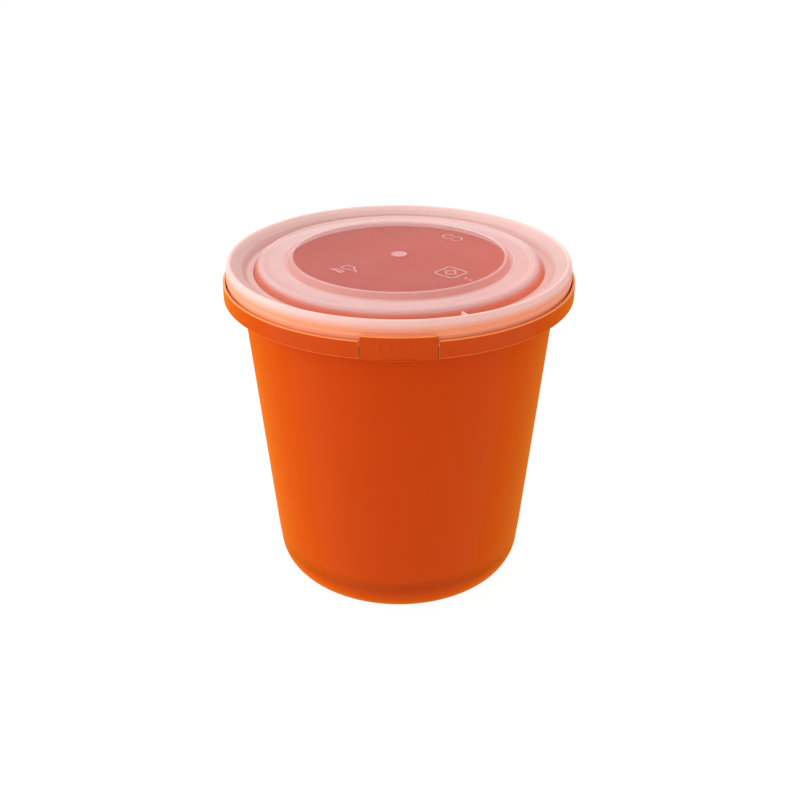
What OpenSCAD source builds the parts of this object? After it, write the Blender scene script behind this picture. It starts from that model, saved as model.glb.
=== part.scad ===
// Round waste tub with a tamper-evident collar, a fold-down tear tab and a push-on lid.
// Millimetres, +Z up. Origin: centre of the foot ring, on the surface that the tub stands on.
// The tear tab is at the front, on the -Y side.

/* [Tub] */
// Outside diameter of the tapered wall where the base rounding ends
base_d = 99.8; // [96:0.1:103]
// Outside diameter of the tapered wall right under the collar
neck_d = 119.1; // [117:0.1:119.6]
// Height of the underside of the collar above the foot
neck_z = 116.8; // [90:0.1:150]
// Thickness of the tub wall
wall_t = 1.2; // [1:0.1:1.4]
// Thickness of the raised floor
floor_t = 1.5; // [1.2:0.1:2]
// Height of the raised floor's underside above the foot
foot_recess = 3.2; // [2.4:0.1:4]
// Radial size of the base rounding
round_w = 9.4; // [7:0.1:10]
// Height of the base rounding
round_h = 11.6; // [9:0.1:13]

/* [Collar] */
// Outside diameter of the tamper-evident collar
collar_d = 133; // [132.8:0.1:136]
// Height of the collar
collar_h = 6.5; // [5.8:0.1:7]
// Thickness of the collar
collar_t = 1.0; // [0.8:0.1:1.1]
// Thickness of the web that joins the collar to the wall
web_t = 1.2; // [1:0.1:1.5]

/* [Tear tab] */
// Width of the tear tab
tab_w = 26.2; // [20:0.1:34]
// Height of the tab above the top of the collar
tab_rise = 1.9; // [0.5:0.1:1.9]
// Width of the slit at each side of the tab
slit_w = 0.5; // [0.4:0.05:0.8]
// Number of raised grip ribs on the tab
rib_count = 5; // [1:1:7]
// Length of the film hinge under the tab
hinge_len = 10; // [6:0.5:12]

/* [Lid] */
// Diameter of the raised centre disc of the lid
disc_d = 82; // [70:0.5:84]
// Height of the raised centre disc above the flat ring around it
disc_step = 1.8; // [1.2:0.1:2.2]
// Depth of the groove inside the lid's rim, below the flat ring
groove_depth = 3.1; // [2.4:0.1:3.2]
// Thickness of the lid
lid_t = 0.9; // [0.7:0.1:0.9]
// Number of stiffening lugs in the lid's groove
lug_count = 1; // [1:1:12]

/* [Hidden] */
$fn = 128;

tub_colour = [0.82, 0.31, 0.05];
tab_colour = [0.88, 0.36, 0.06];
lid_colour = [0.93, 0.78, 0.75];

front = 270;            // direction of the tear tab around the tub, in degrees from +X
round_steps = 10;       // segments in each rounded corner of a revolved outline
edge_r = 0.3;           // edge break on the collar

// Tub
base_r = base_d / 2;
neck_r = neck_d / 2;
taper = (neck_r - base_r) / (neck_z - round_h);
foot_r = base_r - round_w;
foot_w = 1.0;
floor_z = foot_recess + floor_t;
recess_lean = 0.8;      // how far the recess under the floor narrows on its way up

// Collar and rim
collar_r = collar_d / 2;
collar_in_r = collar_r - collar_t;
collar_z = neck_z + collar_h;
web_z = neck_z + web_t;
rim_r = neck_r + 3.15;
rim_low_z = neck_z + 6.4;
rim_top_z = neck_z + 10.8;

// Tear tab and its hinge
tab_r = collar_r - 0.15;
tab_in_r = collar_in_r;
tab_half = asin(tab_w / 2 / tab_r);
slit_angle = slit_w / collar_r * 180 / PI;
window_half = tab_half + slit_angle;
tab_low_z = neck_z - 0.05;
tab_top_z = collar_z + tab_rise;
tab_corner_r = 1.2;
hinge_r = 0.25;         // the film hinge is a thin round web
hinge_fit = 0.06;       // radial clearance of the tab around it
hinge_y = -(collar_r - hinge_r - 0.05);
hinge_z = neck_z - 0.15;
lip_r = collar_r - 0.45;
lip_low_z = hinge_z - hinge_r;
window_in_r = tab_in_r - 0.4;
blade_in_y = window_in_r - 0.35; // how far in the hinge's blade reaches, in a pocket in the web
rib_w = 0.9;
rib_h = 4.6;
rib_gap = 3.4;

// Bridges that snap when the tab is pulled
bridge_z = collar_z - 1.7;
bridge_h = 0.7;
bridge_t = 0.5;
bridge_gap = 0.06;      // gap between a bridge and the tab

// Lid
ring_z = neck_z + 12.1; // flat ring around the centre disc
disc_r = disc_d / 2;
disc_z = ring_z + disc_step;
lip_rise = 0.18;        // fine raised lips at the disc's edge and at the foot of its step
crown_r = neck_r - 8.05;
groove_z = ring_z - groove_depth;
groove_in_r = neck_r - 4.35;
groove_out_r = neck_r - 1.9;
ridge_r = neck_r + 4.1;
ridge_z = neck_z + 13.6;
skirt_r = collar_in_r - 0.55;
skirt_low_z = neck_z + 3.0;
flange_r = collar_in_r - 0.3;
flange_low_z = collar_z + 1.1;
flange_high_z = collar_z + 1.8;
snap_r = rim_r + 0.3;
snap_z = neck_z + 5.2;
gate_r = 3.0;
gate_depth = 0.25;
lug_t = 0.9;
lug_first = 22.2;       // direction of the first lug, in degrees to the right of the front

// Points of an elliptical arc around [cx, cz], from angle a0 to a1.
function arc(cx, cz, rx, rz, a0, a1, n = round_steps) =
    [for (i = [0:n]) let (a = a0 + (a1 - a0) * i / n) [cx + rx * cos(a), cz + rz * sin(a)]];

// Outside radius of the tapered wall at height z.
function wall_r(z) = base_r + taper * (z - round_h);

// Outline of the tub's wall, floor, rim, web and collar, as [radius, height].
function tub_outline() = concat(
    [[0, foot_recess], [foot_r - foot_w - recess_lean, foot_recess], [foot_r - foot_w, 0]],
    arc(foot_r, round_h, round_w, round_h, -90, 0),
    [[neck_r, neck_z], [collar_r - edge_r, neck_z], [collar_r, neck_z + edge_r]],
    [[collar_r, collar_z - edge_r], [collar_r - edge_r, collar_z], [collar_in_r, collar_z]],
    [[collar_in_r, web_z], [wall_r(web_z), web_z], [wall_r(rim_low_z), rim_low_z]],
    [[rim_r, rim_low_z + 1.7], [rim_r, rim_top_z - 0.9]],
    arc(rim_r - 0.7, rim_top_z - 0.7, 0.7, 0.7, 0, 90, 4),
    [[rim_r - 2.0, rim_top_z - 1.0], [wall_r(rim_top_z) - wall_t, rim_top_z - 1.6]],
    arc(foot_r + wall_t, round_h + wall_t, round_w - 2 * wall_t, round_h - 0.2, 0, -90),
    [[foot_r - foot_w + wall_t, wall_t + 0.2]],
    arc(foot_r - foot_w - recess_lean + wall_t - 1, floor_z - 1, 1, 1, 0, 90, 5),
    [[0, floor_z]]
);

// Part of a ring, as a box in [radius, angle, height], centred on the front.
module front_sector(r0, r1, half, z0, z1) {
    rotate_extrude(start = front - half, angle = 2 * half)
        translate([r0, z0]) square([r1 - r0, z1 - z0]);
}

// Front view of the tab, with its two rounded upper corners.
module tab_face() {
    half_w = tab_w / 2;
    polygon(concat(
        [[-half_w, tab_low_z - 1], [half_w, tab_low_z - 1]],
        arc(half_w - tab_corner_r, tab_top_z - tab_corner_r, tab_corner_r, tab_corner_r, 0, 90, 6),
        arc(tab_corner_r - half_w, tab_top_z - tab_corner_r, tab_corner_r, tab_corner_r, 90, 180, 6)
    ));
}

// Wall, raised floor, rim, web and collar, one moulding, open at the front for the tab.
module tub() {
    color(tub_colour) {
        difference() {
            rotate_extrude() polygon(tub_outline());
            front_sector(window_in_r, collar_r + 1, window_half, neck_z - 1, collar_z + 1);
        }
        difference() {
            union() {
                front_sector(window_in_r - 1.6, lip_r, window_half, lip_low_z, hinge_z);
                front_sector(window_in_r - 1.6, window_in_r, window_half, lip_low_z, neck_z + 0.2);
            }
            translate([-hinge_len / 2 - 0.2, -lip_r - 1, lip_low_z - 1])
                cube([hinge_len + 0.4, lip_r + 1 - blade_in_y, hinge_r + 1]);
        }
    }
}

// Curved tab that closes the gap in the collar, with raised grip ribs.
module tear_tab() {
    color(tab_colour) difference() {
        intersection() {
            union() {
                front_sector(tab_in_r, tab_r, tab_half, tab_low_z, tab_top_z);
                for (i = [0:rib_count - 1]) {
                    x = (i - (rib_count - 1) / 2) * rib_gap;
                    rotate([0, 0, asin(x / tab_r)]) grip_rib();
                }
            }
            translate([0, -tab_in_r + 3, 0]) rotate([90, 0, 0]) linear_extrude(6) tab_face();
        }
        translate([-hinge_len / 2 - 0.2, hinge_y, hinge_z]) rotate([0, 90, 0])
            cylinder(r = hinge_r + hinge_fit, h = hinge_len + 0.4);
    }
}

// One raised rib, standing 0.15 mm proud of the tab's face.
module grip_rib() {
    rotate_extrude(start = front - rib_w / tab_r * 90 / PI, angle = rib_w / tab_r * 180 / PI)
        translate([tab_r - 0.3, (tab_low_z + tab_top_z - rib_h) / 2])
            square([collar_r - tab_r + 0.3, rib_h]);
}

// Film hinge: a round web along the tab's lower edge and the thin blade that holds it.
module tab_hinge() {
    color(tub_colour) translate([-hinge_len / 2, 0, 0]) {
        translate([0, hinge_y, hinge_z]) rotate([0, 90, 0]) cylinder(r = hinge_r, h = hinge_len);
        translate([0, hinge_y, lip_low_z]) cube([hinge_len, -hinge_y - blade_in_y, hinge_r]);
    }
}

// Frangible bridge from the collar towards the tab. side is -1 for the left and 1 for the right.
module bridge(side) {
    gap_angle = bridge_gap / collar_r * 180 / PI;
    from = front + side * (tab_half + gap_angle);
    to = front + side * window_half;
    color(tab_colour)
        rotate_extrude(start = min(from, to), angle = abs(to - from))
            translate([collar_in_r + (collar_t - bridge_t) / 2, bridge_z]) square([bridge_t, bridge_h]);
}

module left_bridge() {
    bridge(-1);
}

module right_bridge() {
    bridge(1);
}

// Upper surface of the lid from the centre out to the bottom of the skirt, as [radius, height].
function lid_upper() = concat(
    [[0, disc_z - gate_depth], [gate_r - 0.4, disc_z - gate_depth], [gate_r, disc_z]],
    [[disc_r - 1.3, disc_z]],
    arc(disc_r - 0.6, disc_z, 0.6, lip_rise, 180, 0, 6),
    [[disc_r + 1.9, ring_z + 0.1], [disc_r + 2.1, ring_z]],
    arc(disc_r + 2.8, ring_z, 0.6, lip_rise, 180, 0, 6),
    [[crown_r - 2.6, ring_z]],
    arc(crown_r, ring_z - 1.5, 2.1, 2.0, 120, 20, 8),
    arc(groove_in_r + 0.7, groove_z + 0.6, 0.6, 0.6, 180, 270, 4),
    arc(groove_out_r - 0.5, groove_z + 0.6, 0.6, 0.6, 270, 350, 4),
    [[groove_out_r + 1.5, groove_z + 2.1], [ridge_r - 0.9, ridge_z - 0.35]],
    arc(ridge_r - 0.35, ridge_z - 0.5, 0.6, 0.5, 120, 15, 6),
    [[ridge_r + 0.95, flange_high_z + 2.4], [flange_r - 0.1, flange_high_z]],
    [[flange_r, flange_high_z - 0.1], [flange_r, flange_low_z], [skirt_r, flange_low_z - 0.2]],
    [[skirt_r, skirt_low_z + 0.3], [skirt_r - 0.3, skirt_low_z]]
);

// Underside of the lid from the bottom of the skirt in to the centre.
function lid_under() = concat(
    [[skirt_r - lid_t, skirt_low_z], [skirt_r - lid_t, snap_z - 1.2], [snap_r, snap_z]],
    [[snap_r, snap_z + 0.4], [skirt_r - lid_t, snap_z + 2.2], [ridge_r - 0.55, flange_high_z + 2.0]],
    [[ridge_r - 0.9, ridge_z - 1.4], [groove_out_r + 1.6, groove_z + 0.95]],
    [[groove_out_r + lid_t + 0.15, groove_z + 0.6], [groove_out_r + lid_t - 0.4, groove_z - lid_t]],
    [[groove_in_r - lid_t + 0.4, groove_z - lid_t], [groove_in_r - lid_t + 0.1, groove_z + 0.1]],
    [[crown_r + 1.1, ring_z - lid_t - 0.4], [crown_r - 0.3, ring_z - lid_t + 0.4]],
    [[crown_r - 2.6, ring_z - lid_t], [disc_r + 1.0, ring_z - lid_t]],
    [[disc_r - 0.8, disc_z - lid_t], [0, disc_z - lid_t - 0.2]]
);

// Small upright lug between the floor of the lid's groove and the slope of its rim.
module groove_lug() {
    translate([0, -lug_t / 2, 0]) rotate([90, 0, 180]) mirror([1, 0, 0])
        linear_extrude(lug_t)
            polygon([
                [groove_in_r + 1.4, groove_z - 0.3],
                [groove_in_r + 1.4, groove_z + 2.8],
                [groove_out_r + 2.9, groove_z + 3.3],
                [groove_out_r + 3.1, groove_z + 2.8],
                [groove_out_r + 1.3, groove_z + 1.4],
                [groove_out_r + 0.5, groove_z - 0.3]
            ]);
}

// Push-on lid, one moulding.
module lid() {
    color(lid_colour) union() {
        rotate_extrude() polygon(concat(lid_upper(), lid_under()));
        for (i = [0:lug_count - 1])
            rotate([0, 0, front + lug_first + i * 360 / lug_count]) groove_lug();
    }
}

tub();
tear_tab();
tab_hinge();
left_bridge();
right_bridge();
lid();
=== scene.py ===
"""Looks of the round waste tub: tub, tear tab, hinge, bridges and push-on lid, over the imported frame.

Outlines are in millimetres in the row frame, as [radius, height, fillet]; meshes are made in metres.
"""

import math
from types import SimpleNamespace

import bmesh
import bpy
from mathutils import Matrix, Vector


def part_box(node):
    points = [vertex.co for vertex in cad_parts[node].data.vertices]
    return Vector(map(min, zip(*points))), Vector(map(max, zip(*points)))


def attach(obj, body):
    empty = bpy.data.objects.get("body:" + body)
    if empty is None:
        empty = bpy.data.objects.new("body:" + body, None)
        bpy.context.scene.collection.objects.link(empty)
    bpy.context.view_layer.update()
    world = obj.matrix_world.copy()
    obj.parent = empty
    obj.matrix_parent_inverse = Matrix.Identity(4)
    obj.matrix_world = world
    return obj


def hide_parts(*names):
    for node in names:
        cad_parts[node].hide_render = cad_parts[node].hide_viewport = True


MM = 0.001
SECTORS = 240  # sectors of a full turn
WINDOW_SECTORS = 20  # how many of the tub's sectors lie in the tab's window
FRONT = -90.0  # direction of the tear tab, in degrees from +X
ARC_STEP = 15.0  # turn of each segment in a fillet, in degrees
TAB_COLS, TAB_ROWS = 200, 64  # even steps across and up the tab, between its fine edge steps
RIB_PITCH, RIB_HALF_W, RIB_HALF_H, RIB_PROUD = 3.4, 0.5, 2.3, 0.15  # the tab's grip ribs
GROOVE_DEPTH = 3.1  # from the lid's ring down to the bottom of its groove
SOFTER_BASE = 0.25  # how far the wall is eased in where it meets the base's rounding
MARK_WIDTH = 0.6  # stroke of most of the lid's marks


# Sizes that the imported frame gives


def box_mm(node):
    """A CAD node's lowest and highest corners, in millimetres."""
    low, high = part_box(node)
    return low / MM, high / MM


def read_sizes():
    """Main radii and heights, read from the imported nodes' boxes.

    The neck is the top of the tapered wall, under the web that carries the collar. Sizes that no box gives,
    such as the foot's radius, are the ones in part.scad.
    """
    tub_high = box_mm("tub")[1]
    lid_low, lid_high = box_mm("lid")
    tab_low, tab_high = box_mm("tear_tab")
    s = SimpleNamespace()
    s.collar_r = tub_high.x
    s.neck_r = s.collar_r - 6.95
    s.neck_z = tab_low.z + 0.05
    s.collar_z = s.neck_z + 6.5
    s.web_z = s.neck_z + 1.2
    s.rim_top = tub_high.z
    s.wall_t = 1.2
    s.foot_r = 40.5
    s.round_h = 11.6
    s.floor_z = 4.7
    s.tab_low, s.tab_top = tab_low.z, tab_high.z
    s.tab_r = s.collar_r - 0.15
    s.tab_in_r = s.collar_r - 1.0
    s.tab_half = math.degrees(math.asin(tab_high.x / s.tab_r))
    s.window_half = s.tab_half + math.degrees(0.34 / s.collar_r)
    s.lip_r = s.collar_r - 0.45
    s.disc_z = lid_high.z - 0.18
    s.ring_z = s.disc_z - 1.8
    s.disc_r = 41.0
    s.skirt_low = lid_low.z
    s.skirt_r = s.collar_r - 1.55
    s.flange_r = s.collar_r - 1.3
    s.rim_r = s.neck_r + 3.15
    s.round_w = s.collar_r - 16.6 - s.foot_r
    s.base_r = s.foot_r + s.round_w
    s.taper = (s.neck_r - s.base_r) / (s.neck_z - s.round_h)
    return s


def wall_r(s, z):
    """Outside radius of the tapered wall at a height."""
    return s.base_r + s.taper * (z - s.round_h)


# Outlines


def arc(cx, cz, rx, rz, start, end, count):
    """Points of an elliptical arc, without fillets."""
    angles = [math.radians(start + (end - start) * i / count) for i in range(count + 1)]
    return [(cx + rx * math.cos(a), cz + rz * math.sin(a), 0.0) for a in angles]


def rounded(corners):
    """The outline through the corners, with each fillet drawn as an arc."""
    out = []
    last = len(corners) - 1
    for i, (x, z, fillet) in enumerate(corners):
        here = Vector((x, z))
        if fillet <= 0 or i in (0, last):
            out.append(here)
            continue
        back = Vector(corners[i - 1][:2]) - here
        ahead = Vector(corners[i + 1][:2]) - here
        half = back.angle(ahead) / 2
        reach = min(fillet / math.tan(half), 0.48 * back.length, 0.48 * ahead.length)
        radius = reach * math.tan(half)
        centre = here + (back.normalized() + ahead.normalized()).normalized() * radius / math.sin(half)
        start = here + back.normalized() * reach - centre
        turn = math.pi - 2 * half
        sign = 1 if back.x * ahead.y - back.y * ahead.x < 0 else -1
        count = max(2, math.ceil(math.degrees(turn) / ARC_STEP))
        for k in range(count + 1):
            a = sign * turn * k / count
            c, d = math.cos(a), math.sin(a)
            out.append(centre + Vector((start.x * c - start.y * d, start.x * d + start.y * c)))
    return [(p.x, p.y) for p in out]


def tub_chains(s):
    """The tub's outline in runs: base, web, collar, the window's lip and edge, and the rest."""
    soft = SOFTER_BASE
    base = [
        (0, 3.35, 0), (2.2, 3.35, 0.15), (2.5, 3.2, 0.1), (38.7, 3.2, 0.5), (39.5, 0, 0.22),
        (s.foot_r, 0, 0),
    ]
    base += arc(s.foot_r, s.round_h, s.round_w - soft, s.round_h, -87, 0, 24)
    for i in range(1, 9):
        z = s.round_h + i
        base.append((wall_r(s, z) - soft * (1 - i / 9) ** 2, z, 0))
    base += [(s.neck_r, s.neck_z, 0.35), (s.neck_r + 3.95, s.neck_z, 0)]
    start = (s.neck_r + 3.95, s.neck_z)
    cross = (s.neck_r + 5.55, s.neck_z)
    end = (s.neck_r + 5.55, s.web_z)
    collar = rounded([
        (*cross, 0), (s.collar_r, s.neck_z, 0.45), (s.collar_r, s.collar_z, 0.42),
        (s.tab_in_r, s.collar_z, 0.26), (s.tab_in_r, s.web_z, 0.3), (*end, 0),
    ])
    lip = [
        start, (start[0], s.neck_z - 0.4), (s.lip_r, s.neck_z - 0.4), (s.lip_r, s.neck_z - 0.15),
        (cross[0], s.neck_z - 0.15), cross,
    ]
    top = s.rim_top
    rest = [(*end, 0), (wall_r(s, s.web_z), s.web_z, 0.5)]
    rest += [(wall_r(s, s.neck_z + 6.4), s.neck_z + 6.4, 0.4), (s.rim_r, s.neck_z + 8.1, 0.3)]
    rest += [(s.rim_r, top - 0.9, 0)] + arc(s.rim_r - 0.7, top - 0.7, 0.7, 0.7, 0, 90, 6)
    rest += [(s.rim_r - 2.0, top - 1.0, 0.3), (wall_r(s, top) - s.wall_t, top - 1.6, 0.35)]
    rest += arc(s.foot_r + 1.2, s.round_h + 1.2, s.round_w - 2.4, s.round_h - 0.2, 0, -88, 20)
    rest += [(s.foot_r + 0.2, 1.4, 0.3), (s.foot_r - 0.6, s.floor_z, 0.9)]
    rest += [(12.3, s.floor_z, 0), (12.0, s.floor_z + 0.06, 0), (11.7, s.floor_z, 0)]
    rest += [(3.2, s.floor_z, 0.1), (2.9, s.floor_z - 0.2, 0.1), (0, s.floor_z - 0.2, 0)]
    return rounded(base), [start, cross], collar, lip, [cross, end], rounded(rest)


def lid_outline(s):
    """The lid's outline from the centre of its top, out and down the skirt, and back underneath."""
    dz, rz, c = s.disc_z, s.ring_z, s.collar_r
    fz = s.collar_z + 1.8
    gz = rz - GROOVE_DEPTH
    top = [(0, dz - 0.25, 0), (2.5, dz - 0.25, 0.3), (3.05, dz, 0.12)]
    top += [(9.6, dz, 0), (10.0, dz + 0.07, 0), (10.4, dz, 0), (s.disc_r - 1.3, dz, 0)]
    top += arc(s.disc_r - 0.6, dz, 0.6, 0.18, 180, 0, 10)
    top += [(s.disc_r + 1.8, rz + 0.15, 0.25), (s.disc_r + 2.2, rz, 0)]
    top += arc(s.disc_r + 2.8, rz, 0.6, 0.18, 180, 0, 10)
    top += [(s.neck_r - 10.65, rz, 0.4)] + arc(s.neck_r - 8.05, rz - 1.5, 2.1, 2.0, 118, 22, 14)
    top += [(s.neck_r - 4.35, gz, 0.7), (s.neck_r - 2.1, gz, 0.5)]
    top += [(s.neck_r - 0.4, gz + 2.1, 0.35)] + arc(c - 2.72, s.neck_z + 12.15, 1.17, 1.4, 128, 6, 16)
    for z in (fz + 2.3, fz + 1.1):
        top += [(c - 1.62, z + 0.34, 0.1), (c - 1.34, z + 0.1, 0.12), (c - 1.34, z - 0.12, 0.1)]
        top += [(c - 1.62, z - 0.34, 0.1)]
    top += [(c - 1.5, fz + 0.2, 0.1), (s.flange_r, fz - 0.1, 0.12)]
    top += [(s.flange_r, fz - 0.7, 0.06), (s.skirt_r, fz - 0.9, 0.12)]
    top += [(s.skirt_r, s.skirt_low + 0.3, 0.15), (s.skirt_r - 0.3, s.skirt_low, 0.1)]
    under = [(c - 2.45, s.skirt_low, 0.15), (c - 2.45, s.neck_z + 4.0, 0.3), (c - 3.5, s.neck_z + 5.2, 0.2)]
    under += [(c - 3.5, s.neck_z + 5.6, 0.2), (c - 2.45, s.neck_z + 7.4, 0.4), (c - 3.4, fz + 2.0, 0.3)]
    under += [(c - 3.75, s.neck_z + 12.2, 0.3), (s.neck_r - 0.3, gz + 0.95, 0.3)]
    under += [(s.neck_r - 0.85, gz + 0.6, 0.2), (s.neck_r - 1.4, gz - 0.9, 0.4)]
    under += [(s.neck_r - 4.85, gz - 0.9, 0.4), (s.neck_r - 5.15, gz + 0.1, 0.4)]
    under += [(s.neck_r - 6.95, rz - 1.3, 0.6), (s.neck_r - 8.35, rz - 0.5, 0.5)]
    under += [(s.neck_r - 10.65, rz - 0.9, 0.5), (s.disc_r + 1.0, rz - 0.9, 0.5)]
    under += [(s.disc_r - 0.8, dz - 0.9, 0.5), (3.0, dz - 1.1, 0.0), (0, dz - 1.1, 0)]
    return rounded(top + under)


# Meshes


class Lathe:
    """Revolves outlines about the Z axis, sector by sector, into one closed mesh."""

    def __init__(self, stations):
        self.bm = bmesh.new()
        self.stations = stations
        self.made = {}

    def vert(self, point, j):
        r, z = round(point[0], 4), round(point[1], 4)
        key = (r, z, -1 if r == 0 else j % len(self.stations))
        if key not in self.made:
            a = math.radians(self.stations[key[2]]) if r else 0.0
            self.made[key] = self.bm.verts.new((r * MM * math.cos(a), r * MM * math.sin(a), z * MM))
        return self.made[key]

    def face(self, corners, slot=0):
        corners = [v for i, v in enumerate(corners) if v is not corners[i - 1]]
        if len(corners) > 2:
            self.bm.faces.new(corners).material_index = slot

    def sector(self, outline, j, zone=None):
        """Faces between two stations; zone(radius, height) gives each one's finish."""
        for p, q in zip(outline, outline[1:]):
            slot = zone((p[0] + q[0]) / 2, (p[1] + q[1]) / 2) if zone else 0
            self.face([self.vert(p, j), self.vert(q, j), self.vert(q, j + 1), self.vert(p, j + 1)], slot)

    def cap(self, outline, j, slot=0):
        """Closes a run of the outline with a flat face at one station."""
        self.face([self.vert(p, j) for p in outline], slot)


def finish_mesh(name, bm, *materials, sharp=40.0):
    """Turns the bmesh into an object with smooth shading, sharp corners and face-weighted normals."""
    bmesh.ops.recalc_face_normals(bm, faces=bm.faces)
    mesh = bpy.data.meshes.new(name)
    bm.to_mesh(mesh)
    bm.free()
    mesh.polygons.foreach_set("use_smooth", [True] * len(mesh.polygons))
    mesh.set_sharp_from_angle(angle=math.radians(sharp))
    for m in materials:
        mesh.materials.append(m)
    obj = bpy.data.objects.new(name, mesh)
    bpy.context.scene.collection.objects.link(obj)
    weighted = obj.modifiers.new("weighted_normals", "WEIGHTED_NORMAL")
    weighted.keep_sharp = True
    weighted.weight = 90
    return obj


def make_tub(s, *finishes):
    """The wall, raised floor, rim, web and collar, with the tab's window.

    finishes are the outer one, a brighter copy for the inside that is painted light, and a brighter copy for
    the edges that is a painted highlight.
    """
    window = WINDOW_SECTORS
    inside = [FRONT - s.window_half + 2 * s.window_half * i / window for i in range(window + 1)]
    around = SECTORS - window
    span = 360 - 2 * s.window_half
    outside = [FRONT + s.window_half + span * i / around for i in range(1, around)]
    lathe = Lathe(inside + outside)
    base, web, collar, lip, edge, rest = tub_chains(s)

    # Painted highlight: the strip along the collar's top and its lower outer edge take the brighter edge
    # copy.
    def painted_highlight_zone(r, z):
        top = z > s.collar_z - 0.36 or (z < s.neck_z + 0.24 and r > s.collar_r - 0.3)
        return 2 if top else 0

    # Painted light: the inside wall and floor take the brighter inside copy of the plastic.
    def painted_light_inside_zone(r, z):
        return 1 if r < s.rim_r - 1.8 else 0

    for j in range(len(lathe.stations)):
        middle = lip + edge[1:] if j < window else web + collar[1:]
        lathe.sector(base, j)
        lathe.sector(middle, j, painted_highlight_zone)
        lathe.sector(rest, j, painted_light_inside_zone)
    for j in (0, window):
        lathe.cap(lip, j)
        # The collar's end faces at the window take the brighter edge copy: painted light in the slits beside
        # the tab.
        lathe.cap(collar, j, 2)
    return finish_mesh("tub_shell", lathe.bm, *finishes)


def make_lid(s, *finishes):
    """The lid's shell, with its finishes in the order frosted, polished, step, groove, slope, rim, lip."""
    lathe = Lathe([360 * i / SECTORS for i in range(SECTORS)])
    frosted, polished, step, groove, slope, rim, lip = range(7)

    def zone(r, z):
        if r < 2.9 and z > s.disc_z - 0.6:
            return frosted
        under = z < s.disc_z - 0.6 - 0.8 * max(0.0, r - s.disc_r)
        if r < s.disc_r - 1.2 or (under and r < s.disc_r + 1.2):
            return polished
        # The fine lips at the disc's edge and outside the step take the brighter lip finish: a painted
        # highlight.
        if r < s.disc_r:
            return lip if z > s.disc_z else step
        if r < s.disc_r + 2.2:
            return step
        if r < s.disc_r + 3.4 and z > s.ring_z:
            return lip
        if r < s.neck_r - 7.4:
            return frosted
        if r < s.neck_r - 4.5:
            return groove
        return slope if r < s.neck_r + 3.2 else rim

    outline = lid_outline(s)
    for j in range(SECTORS):
        lathe.sector(outline, j, zone)
    return finish_mesh("lid_shell", lathe.bm, *finishes)


def edge_drop(distance, radius):
    """How far a rounded edge falls away from the face, at a distance inside the outline."""
    if distance >= radius:
        return 0.0
    return radius - math.sqrt(max(0.0, radius**2 - (radius - max(distance, 0.0)) ** 2))


def rib_height(along, up):
    """Height of the tab's five grip ribs at a point on its face."""
    x = along - RIB_PITCH * max(-2, min(2, round(along / RIB_PITCH)))
    over = max(0.0, abs(up) - (RIB_HALF_H - RIB_HALF_W))
    d = math.hypot(x, over) / RIB_HALF_W
    return RIB_PROUD * (0.5 + 0.5 * math.cos(math.pi * min(1.0, d))) ** 0.6


def make_tab(s, *finishes):
    """Curved tear tab with rounded upper corners, rounded edges, ribs and a notch for its hinge."""
    half = s.tab_r * math.radians(s.tab_half)
    corner, edge, notch = 1.2, 0.24, 5.3
    fine = [0.0, 0.02, 0.06, 0.12, 0.20, 0.30, 0.40, 0.48]
    cols = [-half + f for f in fine]
    inner = 2 * half - 2 * fine[-1]
    cols += [-half + fine[-1] + inner * i / TAB_COLS for i in range(1, TAB_COLS)]
    cols += [half - f for f in reversed(fine)]
    middle = (s.tab_low + s.tab_top) / 2

    def limits(x):
        """The tab's lower and upper edges at a place across it."""
        over = max(0.0, abs(x) - (half - corner))
        high = s.tab_top - corner + math.sqrt(max(0.0, corner**2 - over**2))
        low = s.tab_low + 0.18 * max(0.0, min(1.0, (notch + 0.2 - abs(x)) / 0.2))
        return low, high

    def column(x):
        """The heights of the points in one column, closer together near its edges."""
        low, high = limits(x)
        a, b = low + fine[-1], high - fine[-1]
        heights = [low + f for f in fine] + [a + (b - a) * i / TAB_ROWS for i in range(1, TAB_ROWS)]
        heights += [high - f for f in reversed(fine)]
        return low, high, heights

    def inset(x, z, low, high):
        """How far a point lies inside the tab's outline."""
        d = min(z - low, high - z, half - abs(x))
        ox, oz = abs(x) - (half - corner), z - (s.tab_top - corner)
        if ox > 0 and oz > 0:
            d = min(d, corner - math.hypot(ox, oz))
        return d

    bm = bmesh.new()
    grids = {}
    for side in ("front", "back"):
        grid = []
        for x in cols:
            low, high, heights = column(x)
            a = math.radians(FRONT) + x / s.tab_r
            line = []
            for z in heights:
                softer = 0.0 if side == "back" else 0.22 * max(0.0, (z - middle) / (s.tab_top - middle))
                drop = edge_drop(inset(x, z, low, high), edge + softer)
                if side == "front":
                    r = s.tab_r - drop + rib_height(x, z - middle)
                else:
                    r = s.tab_in_r + 0.02 + drop
                line.append(bm.verts.new((r * MM * math.cos(a), r * MM * math.sin(a), z * MM)))
            grid.append(line)
        grids[side] = grid
        for i in range(len(grid) - 1):
            for k in range(len(grid[0]) - 1):
                bm.faces.new((grid[i][k], grid[i + 1][k], grid[i + 1][k + 1], grid[i][k + 1]))

    def border(grid):
        """The grid's outer points, in order all the way round."""
        n, m = len(grid), len(grid[0])
        loop = [grid[i][0] for i in range(n)] + [grid[n - 1][k] for k in range(1, m)]
        loop += [grid[i][m - 1] for i in range(n - 2, -1, -1)]
        return loop + [grid[0][k] for k in range(m - 2, 0, -1)]

    front, back = border(grids["front"]), border(grids["back"])
    for i in range(len(front)):
        bm.faces.new((front[i - 1], front[i], back[i], back[i - 1]))
    # The tab's side faces and the strip along its top take the brighter edge copy: a painted highlight on
    # the top edge and painted light in the slits.
    for face in bm.faces:
        centre = face.calc_center_median()
        aside = abs(math.degrees(math.atan2(centre.y, centre.x)) - FRONT) > s.tab_half - 0.05
        face.material_index = 1 if aside or centre.z > (s.tab_top - 0.36) * MM else 0
    return finish_mesh("tab_plate", bm, *finishes)


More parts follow.
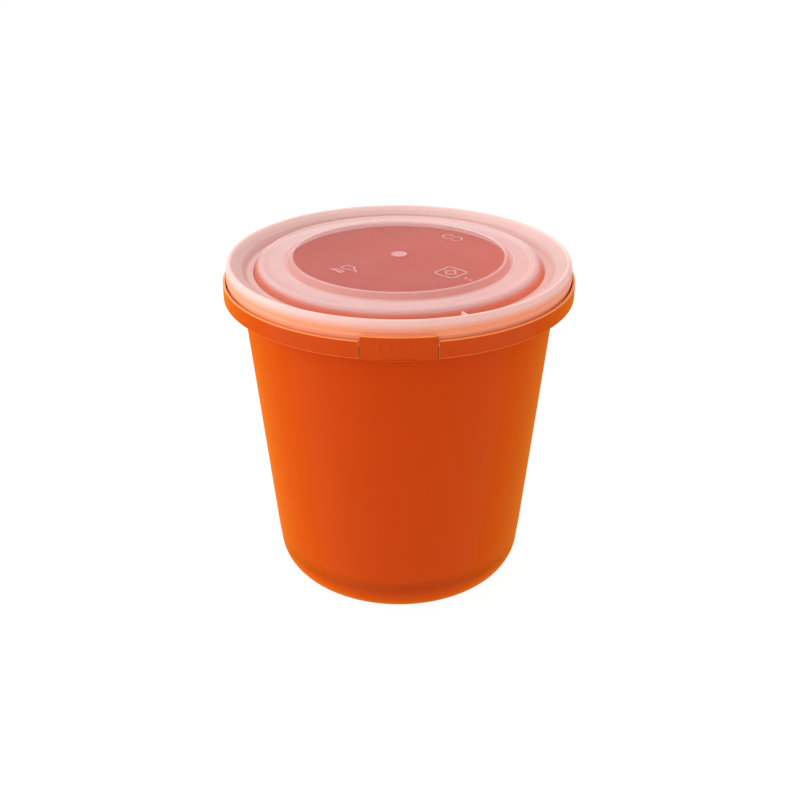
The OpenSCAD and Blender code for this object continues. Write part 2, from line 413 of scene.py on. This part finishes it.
def make_lug(s, material):
    """Small upright lug in the lid's groove, with rounded edges."""
    gz, n = s.ring_z - GROOVE_DEPTH, s.neck_r
    corners = [
        (n - 2.95, gz - 0.3), (n - 2.95, gz + 2.8), (n + 1.0, gz + 3.25), (n + 1.2, gz + 2.8),
        (n - 0.5, gz + 1.4), (n - 1.3, gz - 0.3),
    ]
    bm = bmesh.new()
    sides = []
    for y in (-0.42, 0.42):
        sides.append([bm.verts.new((r * MM, y * MM, z * MM)) for r, z in corners])
    bm.faces.new(sides[0])
    bm.faces.new(list(reversed(sides[1])))
    for i in range(len(corners)):
        bm.faces.new((sides[0][i - 1], sides[0][i], sides[1][i], sides[1][i - 1]))
    edges = [e for e in bm.edges if abs(e.verts[0].co.y - e.verts[1].co.y) < 1e-6]
    bmesh.ops.bevel(bm, geom=edges, offset=0.16 * MM, segments=3, profile=0.5, affect="EDGES")
    turn = math.radians(FRONT + 22.2)
    for v in bm.verts:
        x, y = v.co.x, v.co.y
        v.co.x, v.co.y = x * math.cos(turn) - y * math.sin(turn), x * math.sin(turn) + y * math.cos(turn)
    return finish_mesh("lid_lug", bm, material)


def ribbon(bm, points, width, z, closed=False):
    """A thin raised stroke along the points, with a rounded top."""
    section = [(-0.5, -0.02), (-0.46, 0.05), (-0.3, 0.085), (0.0, 0.1)]
    section += [(0.3, 0.085), (0.46, 0.05), (0.5, -0.02)]
    pts = [Vector(p) for p in points]
    n = len(pts)
    rows = []
    for i, p in enumerate(pts):
        before = pts[i - 1] if closed or i else p
        after = pts[(i + 1) % n] if closed or i < n - 1 else p
        along = (after - before).normalized()
        side = Vector((-along.y, along.x))
        rows.append([
            bm.verts.new(((p.x + side.x * u * width) * MM, (p.y + side.y * u * width) * MM, (z + h) * MM))
            for u, h in section
        ])
    for i in range(n if closed else n - 1):
        a, b = rows[i], rows[(i + 1) % n]
        for k in range(len(section)):
            bm.faces.new((a[k - 1], a[k], b[k], b[k - 1]))
    if not closed:
        bm.faces.new(rows[0])
        bm.faces.new(list(reversed(rows[-1])))


def place(points, centre, turn):
    """Points turned about the origin and moved to a centre."""
    c, d = math.cos(math.radians(turn)), math.sin(math.radians(turn))
    return [(centre[0] + x * c - y * d, centre[1] + x * d + y * c) for x, y in points]


def ring_points(radius, start, end, count):
    """Points along part of a circle about the origin, from one angle to another."""
    angles = [math.radians(start + (end - start) * i / count) for i in range(count + 1)]
    return [(radius * math.cos(a), radius * math.sin(a)) for a in angles]


def rounded_square(half, corner):
    """A closed outline of a square with rounded corners."""
    out = []
    for k, (sx, sy) in enumerate(((1, 1), (-1, 1), (-1, -1), (1, -1))):
        cx, cy = sx * (half - corner), sy * (half - corner)
        for i in range(7):
            a = math.radians(90 * k + 15 * i)
            out.append((cx + corner * math.cos(a), cy + corner * math.sin(a)))
    return out


def make_marks(s, material):
    """Plain moulded marks on the disc: bars with an open diamond, two part rings, a framed diamond."""
    z = s.disc_z
    bm = bmesh.new()
    left = (-19.6, -17.0)
    ribbon(bm, place([(-5.2, 0.6), (-3.6, -0.6), (-1.0, -3.8)], left, 0), 0.9, z)
    ribbon(bm, place([(-4.1, 1.4), (-2.4, 0.0), (0.0, -2.8)], left, 0), MARK_WIDTH, z)
    diamond = [(-1.6, 2.2), (0.6, 4.6), (3.4, 2.4), (3.6, -1.6), (1.6, 0.0), (-0.4, 0.6)]
    ribbon(bm, place(diamond, left, 0), MARK_WIDTH, z, closed=True)
    ribbon(bm, place([(3.6, -1.6), (4.6, -3.2)], left, 0), 0.7, z)
    upper = (19.6, 20.4)
    ribbon(bm, place(ring_points(2.3, 30, 300, 30), upper, 10), MARK_WIDTH, z)
    ribbon(bm, place(ring_points(2.3, 200, 480, 30), (22.4, 17.8), 10), MARK_WIDTH, z)
    lower = (18.8, -20.2)
    ribbon(bm, place(rounded_square(4.4, 1.2)[:-1], lower, -42), MARK_WIDTH, z, closed=True)
    ribbon(bm, place([(0, 2.4), (2.4, 0), (0, -2.4), (-2.4, 0)], lower, -42), 0.9, z, closed=True)
    for x, y in ((24.0, -26.4), (25.4, -28.2)):
        ribbon(bm, place(ring_points(0.35, 0, 330, 11), (x, y), 0), MARK_WIDTH, z, closed=True)
    return finish_mesh("lid_marks", bm, material, sharp=60)


# Materials


class Nodes:
    """A small builder for a material's node tree."""

    def __init__(self, name):
        self.material = bpy.data.materials.new(name)
        self.material.use_nodes = True
        self.tree = self.material.node_tree
        self.shader = self.tree.nodes["Principled BSDF"]
        self.place = self.new("ShaderNodeTexCoord").outputs["Object"]

    def new(self, kind, **settings):
        """A new node, with its inputs or its properties set by name."""
        node = self.tree.nodes.new(kind)
        for key, value in settings.items():
            if key in node.inputs:
                node.inputs[key].default_value = value
            else:
                setattr(node, key, value)
        return node

    def link(self, a, b):
        self.tree.links.new(a, b)

    def noise(self, scale, detail=2.0, rough=0.5, vector=None):
        node = self.new("ShaderNodeTexNoise", Scale=scale, Detail=detail, Roughness=rough)
        self.link(vector or self.place, node.inputs["Vector"])
        return node.outputs["Fac"]

    def stretched(self, x, y, z):
        """Object coordinates scaled along each axis."""
        node = self.new("ShaderNodeMapping")
        node.inputs["Scale"].default_value = (x, y, z)
        self.link(self.place, node.inputs["Vector"])
        return node.outputs["Vector"]

    def height(self):
        """Height above the foot, in millimetres."""
        parts = self.new("ShaderNodeSeparateXYZ")
        self.link(self.place, parts.inputs[0])
        return self.math("MULTIPLY", parts.outputs["Z"], 1 / MM)

    def rings(self, scale):
        """Coordinates that change only with the distance from the Z axis."""
        flat = self.new("ShaderNodeVectorMath", operation="LENGTH")
        self.link(self.stretched(1, 1, 0), flat.inputs[0])
        return self.math("MULTIPLY", flat.outputs["Value"], scale)

    def facing(self):
        """0 where the surface faces the viewer, 1 at its outline."""
        return self.new("ShaderNodeLayerWeight", Blend=0.5).outputs["Facing"]

    def up_facing(self):
        """The surface normal's upward part."""
        parts = self.new("ShaderNodeSeparateXYZ")
        self.link(self.new("ShaderNodeNewGeometry").outputs["Normal"], parts.inputs[0])
        return parts.outputs["Z"]

    def span(self, value, low, high, to_low, to_high):
        """A value moved from one range to another, and held at its ends."""
        node = self.new("ShaderNodeMapRange")
        node.inputs["From Min"].default_value = low
        node.inputs["From Max"].default_value = high
        node.inputs["To Min"].default_value = to_low
        node.inputs["To Max"].default_value = to_high
        self.link(value, node.inputs["Value"])
        return node.outputs["Result"]

    def mix(self, factor, a, b):
        node = self.new("ShaderNodeMix", data_type="RGBA")
        for slot, value in ((6, a), (7, b)):
            if isinstance(value, tuple):
                node.inputs[slot].default_value = (*value, 1.0)
            else:
                self.link(value, node.inputs[slot])
        self.link(factor, node.inputs[0])
        return node.outputs[2]

    def math(self, operation, a, b):
        node = self.new("ShaderNodeMath", operation=operation)
        for slot, value in enumerate((a, b)):
            if isinstance(value, (int, float)):
                node.inputs[slot].default_value = value
            else:
                self.link(value, node.inputs[slot])
        return node.outputs[0]

    def bump(self, height, strength, distance, under=None):
        node = self.new("ShaderNodeBump", Strength=strength, Distance=distance * MM)
        self.link(height, node.inputs["Height"])
        if under:
            self.link(under, node.inputs["Normal"])
        return node.outputs["Normal"]

    def set(self, **values):
        """Sets values on the shader's own sockets."""
        for key, value in values.items():
            self.shader.inputs[key.replace("_", " ")].default_value = value


def tub_plastic(name, colour):
    """Orange moulded polypropylene: satin, finely textured, with flow marks, a scuffed foot and a band of
    painted shade above the foot.
    """
    n = Nodes(name)
    flow = n.noise(1.0, 3.0, 0.55, n.stretched(45, 45, 14))
    grain = n.noise(2600, 2.0)
    body = n.mix(n.span(flow, 0.3, 0.7, 0, 1), tuple(c * 0.96 for c in colour), colour)
    up = n.height()
    # Painted shade: a darker band from 8 to 16.5 mm up, where the wall turns into the base's rounding.
    painted_shade_band = n.math("MULTIPLY", n.span(up, 16.5, 13.5, 0, 1), n.span(up, 8.0, 11.5, 0, 1))
    body = n.mix(n.math("MULTIPLY", painted_shade_band, 0.6), body, tuple(c * 0.68 for c in colour))
    scratches = n.noise(1.0, 4.0, 0.6, n.stretched(120, 120, 420))
    scuffed = n.math("MULTIPLY", n.span(up, 17, 9, 0, 1), n.span(scratches, 0.60, 0.70, 0, 0.5))
    n.link(n.mix(scuffed, body, tuple(c * 0.60 for c in colour)), n.shader.inputs["Base Color"])
    rough = n.span(grain, 0.3, 0.7, 0.34, 0.42)
    n.link(n.math("ADD", rough, n.math("MULTIPLY", scuffed, 0.5)), n.shader.inputs["Roughness"])
    n.link(n.bump(grain, 0.10, 0.05, n.bump(flow, 0.15, 0.25)), n.shader.inputs["Normal"])
    side_gloss = n.math("MULTIPLY", n.span(n.facing(), 0.10, 0.45, 1, 0), n.span(up, 115, 118, 0.15, 0.45))
    top_gloss = n.span(n.up_facing(), 0.15, 0.70, 0, 0.6)
    n.link(n.math("ADD", side_gloss, top_gloss), n.shader.inputs["Specular IOR Level"])
    n.set(IOR=1.49, Specular_IOR_Level=0.2, Specular_Tint=(1.0, 0.50, 0.15, 1.0))
    n.set(Sheen_Weight=0.6, Sheen_Roughness=0.5, Sheen_Tint=(1.0, 0.44, 0.05, 1.0))
    n.set(Subsurface_Weight=0.3, Subsurface_Radius=(1.0, 0.25, 0.06), Subsurface_Scale=0.001)
    return n.material


def milky_plastic(name, colour, cover, rough, painted_orange_light=None):
    """Natural polypropylene, milky where the mould is frosted.

    cover is how much each face hides of what is behind it. The last argument, when given, is (high, low,
    colour, cover):
    painted orange light, standing in for the orange tub showing through, that grows from one height down to
    another.
    """
    n = Nodes(name)
    cloud = n.noise(60, 3.0, 0.55)
    turned = n.noise(1.0, 2.0, 0.5, n.rings(900))
    grain = n.noise(3200, 2.0)
    tone = n.span(n.math("ADD", cloud, turned), 0.6, 1.4, 0, 1)
    body = n.mix(tone, tuple(c * 0.96 for c in colour), colour)
    hides = n.span(tone, 0, 1, cover - 0.02, cover + 0.02)
    if painted_orange_light:
        high, low, orange_light_colour, orange_light_cover = painted_orange_light
        # Painted orange light: lower down, the colour and cover move towards the orange tub's.
        orange_light_amount = n.span(n.height(), high, low, 0, 1)
        body = n.mix(orange_light_amount, body, orange_light_colour)
        hides = n.math("ADD", hides, n.math("MULTIPLY", orange_light_amount, orange_light_cover - cover))
    n.link(body, n.shader.inputs["Base Color"])
    n.link(hides, n.shader.inputs["Alpha"])
    n.link(n.span(grain, 0.3, 0.7, rough - 0.05, rough + 0.05), n.shader.inputs["Roughness"])
    n.link(n.bump(grain, 0.12, 0.05, n.bump(turned, 0.10, 0.03)), n.shader.inputs["Normal"])
    n.set(IOR=1.49, Specular_IOR_Level=0.22)
    return n.material


def lid_finishes(s):
    """The lid's seven finishes, in the order that make_lid takes them."""
    # The second colour is painted orange light for the groove's lower part, standing in for the orange tub
    # seen through it.
    pale, painted_groove_orange = (0.93, 0.72, 0.70), (1.0, 0.38, 0.24)
    groove_low = (s.ring_z - 0.2, s.ring_z - 2.0)
    rim_low = (s.disc_z - 1.6, s.disc_z - 4.4)
    return (
        milky_plastic("lid_frosted", pale, 0.40, 0.42),
        milky_plastic("lid_polished", (0.84, 0.64, 0.60), 0.11, 0.13),
        milky_plastic("lid_step", (1.0, 0.66, 0.60), 0.38, 0.28),
        # The groove and the rim turn to painted orange light lower down, standing in for the orange tub
        # showing through.
        milky_plastic("lid_groove", pale, 0.40, 0.34, (*groove_low, painted_groove_orange, 0.25)),
        # A darker copy of the lid plastic for the groove's outer part and the ridge: painted shade.
        milky_plastic("lid_slope_painted_shade", (0.85, 0.57, 0.53), 0.60, 0.40),
        milky_plastic("lid_rim", (1.0, 0.65, 0.59), 0.75, 0.34, (*rim_low, (1.0, 0.36, 0.19), 0.85)),
        # A brighter copy of the lid plastic for the fine raised lips: a painted highlight.
        milky_plastic("lid_lip_painted_highlight", (1.0, 0.78, 0.74), 0.38, 0.24),
    )


def floor_surface():
    """Plain pale studio floor with a trace of tone."""
    n = Nodes("floor_surface")
    tone = n.noise(3.0, 2.0)
    n.link(n.mix(tone, (0.080, 0.080, 0.080), (0.086, 0.086, 0.086)), n.shader.inputs["Base Color"])
    n.set(Roughness=0.9, Specular_IOR_Level=0.1, Emission_Color=(1, 1, 1, 1), Emission_Strength=0.95)
    return n.material


# Stage


def make_floor():
    """A flat square floor under the foot, reaching 6 m each way."""
    bm = bmesh.new()
    reach = 6.0
    bm.faces.new([bm.verts.new((x, y, 0.0)) for x, y in
                  ((-reach, -reach), (reach, -reach), (reach, reach), (-reach, reach))])
    mesh = bpy.data.meshes.new("floor")
    bm.to_mesh(mesh)
    bm.free()
    mesh.materials.append(floor_surface())
    floor = bpy.data.objects.new("floor", mesh)
    bpy.context.scene.collection.objects.link(floor)


def aim(obj, target):
    """Turns a light or the camera to look at a target."""
    obj.rotation_euler = (Vector(target) - obj.location).to_track_quat("-Z", "Y").to_euler()


def add_softbox(name, spot, target, width, height, watts):
    """A white rectangular area light at a spot, turned to its target."""
    light = bpy.data.lights.new(name, "AREA")
    light.shape = "RECTANGLE"
    light.size, light.size_y = width, height
    light.energy = watts
    obj = bpy.data.objects.new(name, light)
    obj.location = spot
    bpy.context.scene.collection.objects.link(obj)
    aim(obj, target)


def light_stage():
    """Pale surroundings, softboxes on the left and above and behind, and weak ones in front and right."""
    world = bpy.data.worlds.new("studio")
    world.use_nodes = True
    world.node_tree.nodes["Background"].inputs["Color"].default_value = (1, 1, 1, 1)
    world.node_tree.nodes["Background"].inputs["Strength"].default_value = 0.8
    bpy.context.scene.world = world
    middle = (0, 0, 0.07)
    add_softbox("key_left", (-0.95, -0.05, 0.36), middle, 0.5, 0.7, 5.2)
    add_softbox("fill_right", (0.95, 0.25, 0.30), middle, 0.4, 0.6, 0.6)
    add_softbox("top_back", (-0.25, 0.65, 0.95), middle, 0.7, 0.7, 6.2)
    add_softbox("front", (-0.35, -0.95, 0.55), middle, 0.6, 0.6, 1)


def add_camera():
    """Camera with a lens of about 50 mm, 26.7 degrees above the horizon, looking at the tub's front."""
    tilt, reach = math.radians(26.7), 0.4507
    target = Vector((0.0004, 0, 0.0689))
    data = bpy.data.cameras.new("camera")
    data.lens, data.sensor_width = 50.4, 36.0
    data.clip_start, data.clip_end = 0.01, 50.0
    camera = bpy.data.objects.new("camera", data)
    camera.location = target + Vector((0, -math.cos(tilt), math.sin(tilt))) * reach
    bpy.context.scene.collection.objects.link(camera)
    aim(camera, target)
    bpy.context.scene.camera = camera


def stand_for(piece, body, slot, *nodes):
    """Puts a piece on its body and hides the CAD nodes that it stands for; the slot given is not used."""
    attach(piece, body)
    if nodes:
        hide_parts(*nodes)


def build(frame):
    """Makes the materials, the pieces that stand for the CAD nodes, the floor, the lights and the camera."""
    s = read_sizes()
    orange, finishes = tub_plastic("tub_plastic", (0.56, 0.042, 0.0015)), lid_finishes(s)
    # A brighter copy of the orange plastic for the tub's inside: painted light.
    inner = tub_plastic("tub_inside_painted_light", (0.91, 0.084, 0.004))
    # A brighter copy of the orange plastic for edges, the slits' faces and the bridges: a painted highlight.
    edges = tub_plastic("tub_edges_painted_highlight", (1.0, 0.28, 0.09))
    marking = milky_plastic("lid_marking", (0.95, 0.72, 0.70), 0.22, 0.36)
    stand_for(make_tub(s, orange, inner, edges), "tub_body", "tub_plastic", "tub")
    stand_for(make_tab(s, orange, edges), "tab_body", "tub_plastic", "tear_tab")
    stand_for(make_lid(s, *finishes), "lid_body", "lid_plastic", "lid")
    # The lug takes the lips' brighter copy: a painted highlight.
    stand_for(make_lug(s, finishes[6]), "lid_body", "lid_plastic")
    stand_for(make_marks(s, marking), "lid_body", "lid_plastic")
    # The bridges take the brighter edge copy, a painted highlight; the hinge keeps the orange plastic.
    for node, finish in (("tab_hinge", orange), ("left_bridge", edges), ("right_bridge", edges)):
        frame["nodes"][node].data.materials.clear()
        frame["nodes"][node].data.materials.append(finish)
    make_floor()
    light_stage()
    add_camera()
    bpy.context.scene.view_settings.view_transform = "Standard"


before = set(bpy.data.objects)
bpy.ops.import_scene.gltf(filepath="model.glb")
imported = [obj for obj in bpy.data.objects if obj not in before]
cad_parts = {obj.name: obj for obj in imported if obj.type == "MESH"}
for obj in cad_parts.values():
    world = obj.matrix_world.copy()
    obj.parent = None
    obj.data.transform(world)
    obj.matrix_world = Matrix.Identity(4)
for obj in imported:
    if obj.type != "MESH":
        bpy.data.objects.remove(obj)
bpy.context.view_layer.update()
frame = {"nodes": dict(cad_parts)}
build(frame)
